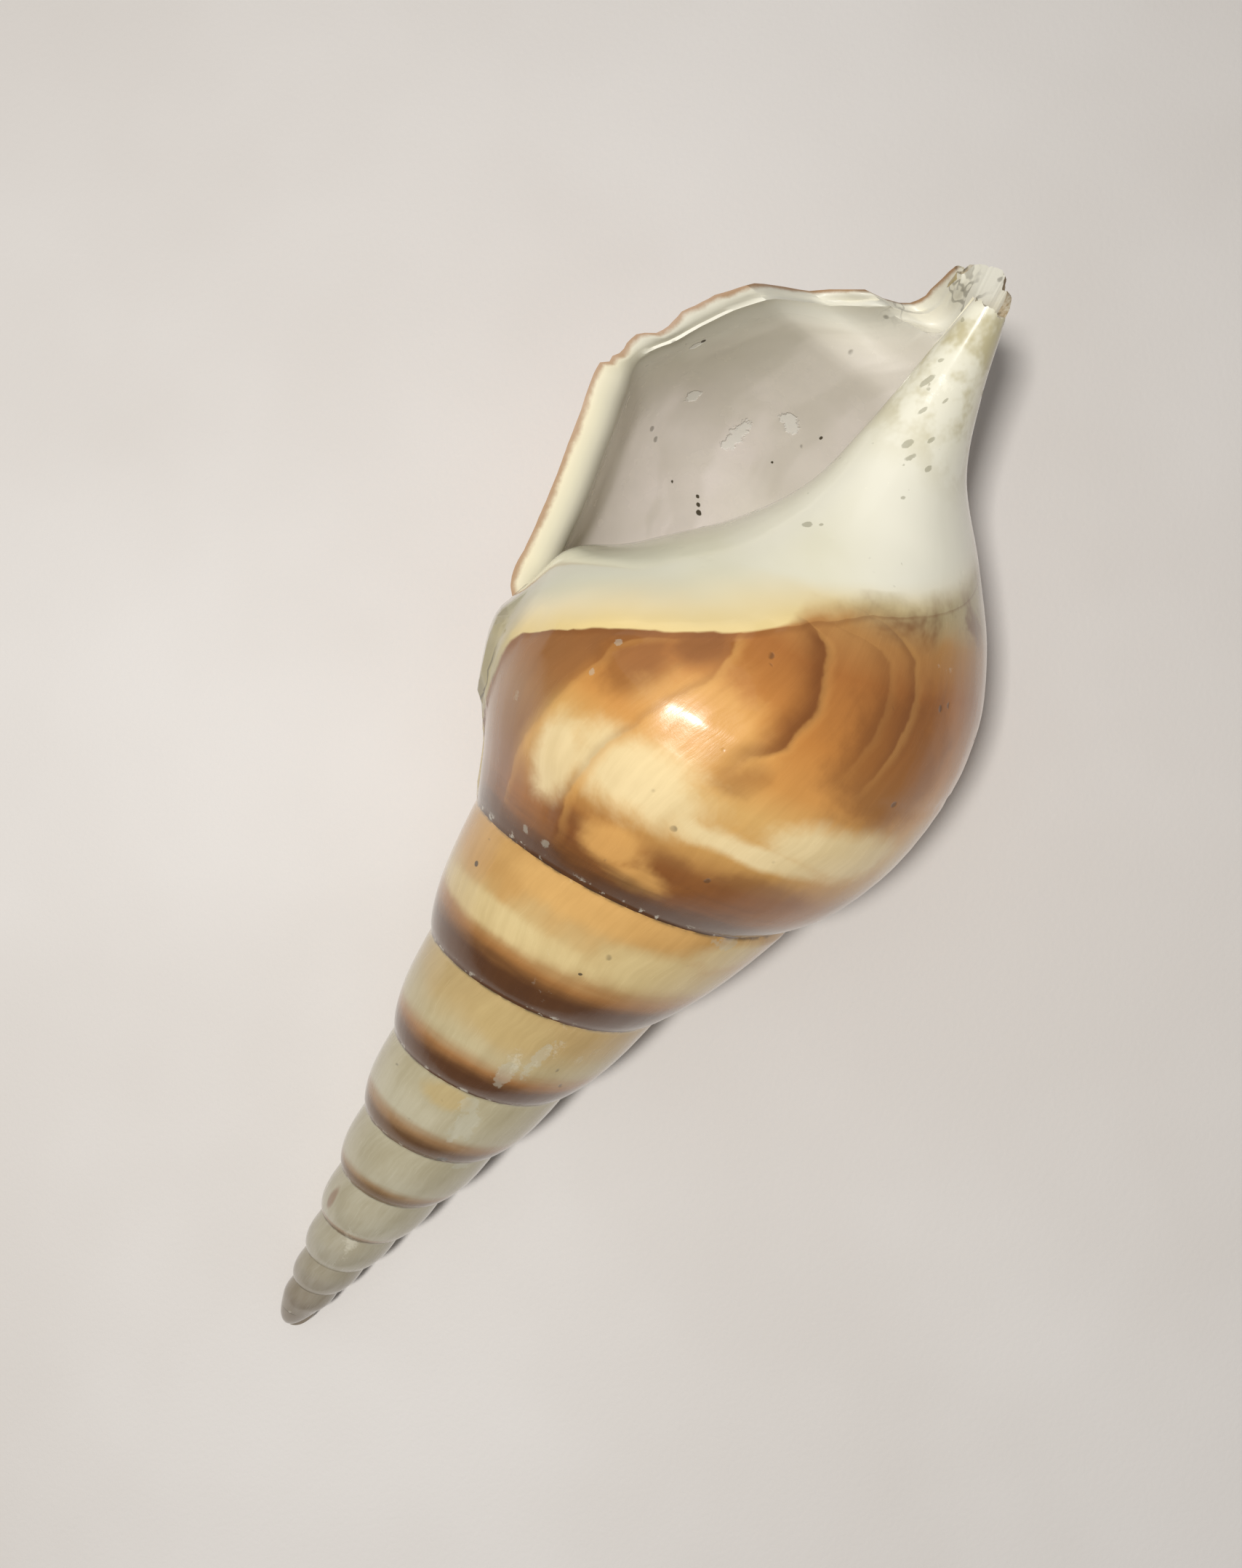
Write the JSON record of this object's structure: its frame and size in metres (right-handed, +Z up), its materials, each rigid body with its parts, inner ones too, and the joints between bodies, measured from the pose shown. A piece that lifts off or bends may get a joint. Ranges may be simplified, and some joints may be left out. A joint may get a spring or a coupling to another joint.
{
  "type": "tibia sea snail shell",
  "caption": "Tall-spired tibia sea snail shell with a chipped outer lip and a broken short canal, lying on its back with its opening up.",
  "frame": {"origin": "middle of the shell's box, on the surface it lies on", "axes": "+X from the apex towards the canal tip, +Z up; the opening faces up and the outer lip is on the +Y side"},
  "size_m": [0.144, 0.057, 0.0499],
  "materials": {
    "shell": "naturally glossy shell: orange-brown bands and cream zones outside, glazed white lip and columella"
  },
  "bodies": {
    "root": {"shell": "shell"}
  },
  "joints": []
}
